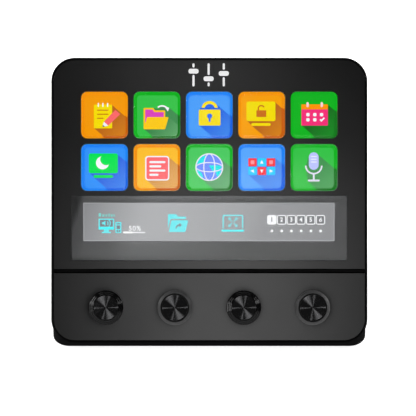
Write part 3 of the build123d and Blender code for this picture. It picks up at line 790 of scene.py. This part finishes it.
# full-screen symbol on an open laptop
lap = [(222.6, 228.2), (222.6, 216.0), (223.8, 214.8), (242.0, 214.8), (243.2, 216.0), (243.2, 228.2), (242.0, 228.2), (242.0, 216.4), (241.6, 216.0),
       (224.2, 216.0), (223.8, 216.4), (223.8, 228.2)]
strip.put(pxs(lap), CYAN)
strip.put(pxs([(221.0, 229.6), (244.4, 229.6), (243.8, 231.3), (243.0, 231.7), (222.4, 231.7), (221.6, 231.3)]), (84, 240, 246), same=True)
strip.put(rect(*px(230.6, 231.0), *px(234.8, 229.6)), CYAN)
mx, my = px(232.9, 222.2)
for sx, sy in ((1, 1), (1, -1), (-1, 1), (-1, -1)):
    strip.put(stroke(mx + sx * 0.35, my + sy * 0.35, mx + sx * 1.5, my + sy * 1.5, 0.42, False), CYAN, same=True)
    strip.put([(mx + sx * 2.0, my + sy * 2.0), (mx + sx * 0.75, my + sy * 2.0), (mx + sx * 2.0, my + sy * 0.75)], CYAN, same=True)
# six numbered pages
for k in range(6):
    x0 = 267.0 + 9.72 * k
    strip.put(rect(*px(x0, 224.6), *px(x0 + 9.3, 215.0), 0.9), PALE, same=k > 0)
for k in range(1, 6):
    x0 = 267.0 + 9.72 * k
    strip.put(rect(*px(x0 + 0.95, 223.65), *px(x0 + 8.35, 215.95), 0.4), (122, 123, 126), same=k > 1)
for k in range(6):
    x0 = 267.0 + 9.72 * k
    gx, gy = px(x0 + 4.65, 219.8)
    if k == 5:
        shapes = [band(gx, gy - 0.26, 0.30, 0.66, t, t + 180, 16) for t in (0, 180)] + [stroke(gx + 0.32, gy + 0.82, gx - 0.46, gy - 0.1, 0.36)]
    else:
        shapes = glyphs(str(k + 1), 2.6, gx, gy, 0.075)
    for shape in shapes:
        strip.put(shape, PALE if k else (112, 113, 118), same=k > 0)
    strip.put(disc(*px(x0 + 4.8, 230.9), 0.62, 20), PALE, same=True)
strip.build("strip_picture", SLAB @ Matrix.Translation((-0.1 * MM, 52.68 * MM, 0)), -2.285, 0.004)

# ------------------------------------------------------------------ printed mark on the upper plate: three plain sliders
glow_ink_mat = moulded("pale_ink_painted_glow", (0.62, 0.62, 0.63, 1), (0.74, 0.74, 0.75, 1), 0.5, 0.05, 2600.0, 4e-6, 0.4)
glow_ink_p = glow_ink_mat.node_tree.nodes["Principled BSDF"]
# painted light: the ink glows faintly white, lighter than the lamps alone make it
glow_ink_p.inputs["Emission Color"].default_value = (1, 1, 1, 1)
glow_ink_p.inputs["Emission Strength"].default_value = 0.4
mark = Picture()
for k, (x, stop) in enumerate(((-6.6, 1.6), (0.0, -1.7), (6.6, 0.6))):
    mark.put(stroke(x, -4.6, x, stop - 2.1, 0.95), glow_ink_mat, same=k > 0)
    mark.put(stroke(x, stop + 2.1, x, 4.6, 0.95), glow_ink_mat, same=True)
    mark.put(rect(x - 2.2, stop - 1.05, x + 2.2, stop + 1.05, 0.9, 8), glow_ink_mat, same=True)
mark_ob = mark.build("face_mark", SLAB @ Matrix.Translation((-0.3 * MM, 116.9 * MM, 0)), 0.012, 0.004)


# ------------------------------------------------------------------ knobs
def knob_side():
    return moulded("knob_side_black", (0.006, 0.006, 0.0062, 1), (0.012, 0.012, 0.0125, 1), 0.38, 0.04, 2600.0, 6e-6)


def turned(name, dark, light, rough, spec=0.5):
    """Turned rim: fine rings about the knob's own axis."""
    m, nt, p = new_mat(name)
    vec = coords(nt)
    flat = nt.nodes.new("ShaderNodeVectorMath")
    flat.operation = "MULTIPLY"
    flat.inputs[1].default_value = (1, 1, 0)
    nt.links.new(vec, flat.inputs[0])
    size = nt.nodes.new("ShaderNodeVectorMath")
    size.operation = "LENGTH"
    nt.links.new(flat.outputs[0], size.inputs[0])
    lay = add(nt, "TexNoise", Scale=9000.0, Detail=2.0)
    lay.noise_dimensions = "1D"
    nt.links.new(size.outputs["Value"], lay.inputs["W"])
    nt.links.new(mix(nt, lay.outputs["Fac"], dark, light), p.inputs["Base Color"])
    nt.links.new(span(nt, lay.outputs["Fac"], 0.3, 0.7, rough * 0.75, rough * 1.25), p.inputs["Roughness"])
    p.inputs["Specular IOR Level"].default_value = spec
    return m


def spun_material():
    m, nt, p = new_mat("spun_disc")
    vec = coords(nt)
    fine = noise(nt, vec, 1800.0, 2.0)
    nt.links.new(mix(nt, fine, (0.16, 0.16, 0.165, 1), (0.21, 0.21, 0.215, 1)), p.inputs["Base Color"])
    nt.links.new(span(nt, fine, 0.3, 0.7, 0.09, 0.115), p.inputs["Roughness"])
    p.inputs["Metallic"].default_value = 1.0
    return m


side_mat = knob_side()
gloss_rim = turned("knob_rim_gloss", (0.002, 0.002, 0.0021, 1), (0.004, 0.004, 0.0042, 1), 0.08, 0.085)
satin_rim = turned("knob_rim_satin", (0.030, 0.030, 0.0305, 1), (0.044, 0.044, 0.0445, 1), 0.5, 0.17)
recess_mat = turned("knob_recess", (0.002, 0.002, 0.002, 1), (0.004, 0.004, 0.004, 1), 0.4, 0.06)
disc_mat = spun_material()

SEG, FLUTES = 240, 60
flute = lambda depth: (lambda i: depth * (1 - abs((i % 4) - 2) / 2.0))
for k in range(1, 5):
    place = SLAB @ Matrix.Translation(((k - 2.5) * KNOB_PITCH * MM, KNOB_V * MM, 0))
    prof = [(0.02, 3.6, 0), (6.3, 3.6, 0), (6.3, 0.95, 0), (6.35, 0.9, 0), (7.08, 0.9, 0), (7.31, 1.0, 0), (7.40, 1.2, 0), (7.40, 1.75, 0)]
    for j in range(8):
        t = j / 7.0
        deep = 0.24 * min(1.0, 6 * t, 6 * (1 - t))
        prof.append((7.42, 1.9 + t * 8.15, deep))
    prof += [(7.40, 10.15, 0), (7.50, 10.25, 0), (7.53, 10.35, 0)]
    if k % 2:
        # polished rim: one wide chamfer with two fine turned lines in it
        prof += [(7.53, 10.46, 0), (7.50, 10.54, 0)]
        for r_out, r_in in ((7.48, 6.96), (6.88, 6.22), (6.14, 5.50)):
            for t in (0.0, 0.5, 1.0):
                r = r_out + (r_in - r_out) * t
                prof.append((r, 10.56 + (7.48 - r) * 0.715, 0))
            prof.append((r_in - 0.04, 10.50 + (7.48 - r_in) * 0.715, 0))
        prof += [(5.42, 11.90, 0), (5.40, 11.80, 0), (5.40, 11.0, 0), (0.02, 11.0, 0)]
    else:
        # satin rim: a narrower chamfer with a slight crown, and a step down to the disc
        prof += [(7.53, 10.68, 0)]
        for j in range(7):
            t = j / 6.0
            crown = 0.025 * 4 * t * (1 - t)
            prof.append((7.50 - 1.16 * t + crown * 0.72, 10.80 + 1.14 * t + crown * 0.69, 0))
        prof += [(6.24, 11.985, 0), (6.15, 11.985, 0), (6.10, 11.94, 0), (6.10, 11.0, 0), (0.02, 11.0, 0)]
    rings = [circle_ring(r, w, SEG, flute(d) if d else None) for r, w, d in prof]
    verts, faces, bands = loft(rings)
    first_rim = next(i for i, (r, w, d) in enumerate(prof) if w in (10.46, 10.68))
    first_recess = next(i for i, (r, w, d) in enumerate(prof) if w in (11.80, 11.985))
    fm = [1 if first_rim <= b < first_recess else 2 if b >= first_recess or b == -2 else 0 for b in bands]
    make(f"knob_body_{k}", verts, faces, [side_mat, gloss_rim if k % 2 else satin_rim, recess_mat], fm, 40.0, place,
         f"knob_{k}", (f"knob_{k}",))

    # disc: turned grooves as real cones, each with its own edge points
    n, pitch, slope = 120, 0.15, radians(19.5)
    verts, faces = [], []
    rim_in, bands_n = (5.36, 35) if k % 2 else (5.60, 37)
    last, low = bands_n * pitch, 11.85 - pitch * tan(slope)
    edge = [(last, low), (last + 0.02, low - 0.02), (rim_in - 0.01, 11.62), (rim_in, 11.56), (rim_in, 11.02), (0.02, 11.02)]
    tracks = []
    for b in range(bands_n):
        r0, r1 = b * pitch, (b + 1) * pitch
        z0, z1 = (11.85, 11.85 - pitch * tan(slope)) if b % 2 == 0 else (11.85 - pitch * tan(slope), 11.85)
        tracks.append(((max(r0, 0.004), z0), (r1, z1)))
    tracks += list(zip(edge, edge[1:]))
    for (r0, z0), (r1, z1) in tracks:
        s = len(verts)
        verts += circle_ring(r0, z0, n) + circle_ring(r1, z1, n)
        faces += [(s + i, s + n + i, s + n + (i + 1) % n, s + (i + 1) % n) for i in range(n)]
    make(f"knob_face_{k}", verts, faces, [disc_mat, recess_mat], [0 if i < bands_n * n else 1 for i in range(len(faces))], 60.0, place, f"knob_{k}", (f"knob_disc_{k}",))

# ------------------------------------------------------------------ painted shade: a near-black skin laid in the seams round and between the front plates
seam_shade_mat = moulded("seam_seal", (0.0008, 0.0008, 0.0008, 1), (0.0018, 0.0018, 0.0018, 1), 0.9, 0.04, 1800.0, 2e-5, 0.02)
verts, faces = [], []
# painted shade: a near-black band from the frame's lip up to the plates' edges, a little wider at the sides
shade_bands = [ring(0, 62.2, 138.0 - 2 * dx, 124.4 - 2 * dy, 10.3 - dx, w, 10)
         for dx, dy, w in ((0.72, 0.72, -0.42), (1.05, 1.05, -0.10), (1.10, 1.06, -0.02), (1.19, 1.08, 0.004))]
n = len(shade_bands[0])
verts += [q for loop in shade_bands for q in loop]
faces += [(k * n + i, k * n + (i + 1) % n, (k + 1) * n + (i + 1) % n, (k + 1) * n + i) for k in range(3) for i in range(n)]
# painted shade: near-black strips along both sides of the groove between the plates
for v0, v1 in ((30.43, 30.98), (31.61, 32.16)):
    b0 = len(verts)
    verts += [(-67.9, v0, -1.9), (67.9, v0, -1.9), (67.9, v1, -1.9), (-67.9, v1, -1.9)]
    faces.append((b0, b0 + 1, b0 + 2, b0 + 3))
make("seam_seal", verts, faces, [seam_shade_mat], None, None, None)

# ------------------------------------------------------------------ gold contacts on the socket's tongue
verts, faces = [], []
for side in (1, -1):
    for i in range(12):
        x0 = (i - 5.5) * 0.5
        zc = side * 0.36
        b0 = len(verts)
        for dz in (0, side * 0.03):
            verts += [(x0 - 0.13, zc + dz, -20.6), (x0 + 0.13, zc + dz, -20.6), (x0 + 0.13, zc + dz, -16.2), (x0 - 0.13, zc + dz, -16.2)]
        faces += [tuple(b0 + j for j in q) for q in ((4, 5, 6, 7), (0, 1, 5, 4), (1, 2, 6, 5), (2, 3, 7, 6), (3, 0, 4, 7), (3, 2, 1, 0))]
contacts = make("usb_contacts", verts, faces, [gold_mat], None, None, SLAB @ Matrix.Translation((0, USB_V * MM, 0)))

for ob in [o for o in bpy.data.objects if o.type == "MESH" and o.name.startswith(("key_cap", "knob_body", "usb_contacts"))]:
    if ob.name in nodes:
        continue
    bm = bmesh.new()
    bm.from_mesh(ob.data)
    bmesh.ops.recalc_face_normals(bm, faces=bm.faces)
    bm.to_mesh(ob.data)
    bm.free()

# ------------------------------------------------------------------ floor, light
floor_me = bpy.data.meshes.new("floor")
floor_me.from_pydata([(-4, -4, 0), (4, -4, 0), (4, 4, 0), (-4, 4, 0)], [], [(0, 1, 2, 3)])
floor = bpy.data.objects.new("floor", floor_me)
bpy.context.scene.collection.objects.link(floor)
fm_, nt, p = new_mat("pale_floor")
vec = coords(nt)
nt.links.new(mix(nt, noise(nt, vec, 6.0, 3.0), (0.86, 0.86, 0.86, 1), (0.9, 0.9, 0.9, 1)), p.inputs["Base Color"])
p.inputs["Roughness"].default_value = 0.9
p.inputs["Specular IOR Level"].default_value = 0.1
p.inputs["Emission Color"].default_value = (1, 1, 1, 1)
p.inputs["Emission Strength"].default_value = 0.85
floor_me.materials.append(fm_)

world = bpy.data.worlds.new("studio")
bpy.context.scene.world = world
world.use_nodes = True
wt = world.node_tree
bg = wt.nodes["Background"]
bg.inputs["Color"].default_value = (1, 1, 1, 1)
seen = wt.nodes.new("ShaderNodeLightPath").outputs["Is Camera Ray"]
wt.links.new(span(wt, seen, 0.0, 1.0, 0.03, 0.95), bg.inputs["Strength"])


def softbox(name, azimuth, polar, distance, width, height, power, aim=(0, 60, 0), fall=None):
    """A soft panel light, placed by its direction from the face: azimuth round the face from +x, polar from straight out."""
    a, t = radians(azimuth), radians(polar)
    d = SLAB.to_3x3() @ Vector((sin(t) * cos(a), sin(t) * sin(a), cos(t)))
    data = bpy.data.lights.new(name, "AREA")
    data.shape, data.size, data.size_y, data.energy = "RECTANGLE", width, height, power
    ob = bpy.data.objects.new(name, data)
    bpy.context.scene.collection.objects.link(ob)
    target = at(*aim)
    ob.location = target + d * distance
    up = SLAB.to_3x3() @ Vector((0, 1, 0))
    z = d.normalized()
    x = up.cross(z)
    x = x.normalized() if x.length > 1e-3 else Vector((1, 0, 0))
    y = z.cross(x)
    ob.rotation_mode = "QUATERNION"
    ob.rotation_quaternion = Matrix((x, y, z)).transposed().to_quaternion()
    ob.visible_camera = False
    if fall:
        data.use_nodes = True
        lt = data.node_tree
        em = lt.nodes["Emission"]
        par = lt.nodes.new("ShaderNodeNewGeometry").outputs["Parametric"]
        sep = lt.nodes.new("ShaderNodeSeparateXYZ")
        lt.links.new(par, sep.inputs[0])
        glow = None
        for axis, (size, width_) in enumerate(((width, fall[0]), (height, fall[1]))):
            off = math(lt, "SUBTRACT", sep.outputs[axis], 0.5)
            near = math(lt, "EXPONENT", math(lt, "MULTIPLY", math(lt, "POWER", math(lt, "ABSOLUTE", math(lt, "MULTIPLY", off, size / width_)), 2.0), -1.0))
            edge = math(lt, "SUBTRACT", 1.0, math(lt, "POWER", math(lt, "ABSOLUTE", math(lt, "MULTIPLY", off, 2.0)), 6.0), clamp=True)
            part_ = math(lt, "MULTIPLY", near, edge)
            glow = part_ if glow is None else math(lt, "MULTIPLY", glow, part_)
        lt.links.new(glow, em.inputs["Strength"])
    return ob


KNOBS = (0, KNOB_V, 12)
softbox("front_soft", 0, 0, 0.22, 0.18, 0.15, 0.417, aim=(9.4, 9, 0), fall=(0.055, 0.3))
softbox("front_high", 0, 0, 0.30, 0.1, 0.045, 0.08, aim=(-6, 139, 0), fall=(0.03, 0.06))
softbox("front_mid", 0, 0, 0.30, 0.05, 0.06, 0.011, aim=(0, 105, 0), fall=(0.018, 0.02))
softbox("key_left", 121, 39, 1.6, 0.85, 0.53, 1.6, aim=KNOBS, fall=(0.34, 0.5))
softbox("strip_right", 0, 39, 1.6, 0.53, 0.06, 0.15, aim=KNOBS)
softbox("strip_top", 78, 39, 1.6, 0.15, 0.53, 0.16, aim=KNOBS)
softbox("back_top", 90, 106, 1.2, 1.4, 0.7, 18.0)
softbox("side_left", 155, 100, 0.9, 0.5, 0.5, 9.0)
softbox("side_right", 25, 100, 0.9, 0.5, 0.5, 7.0)
softbox("rim_left", 177, 71.2, 0.9, 0.06, 0.55, 1.5, aim=KNOBS)
softbox("rim_right", 22, 71.2, 0.9, 0.06, 0.16, 0.40, aim=KNOBS)
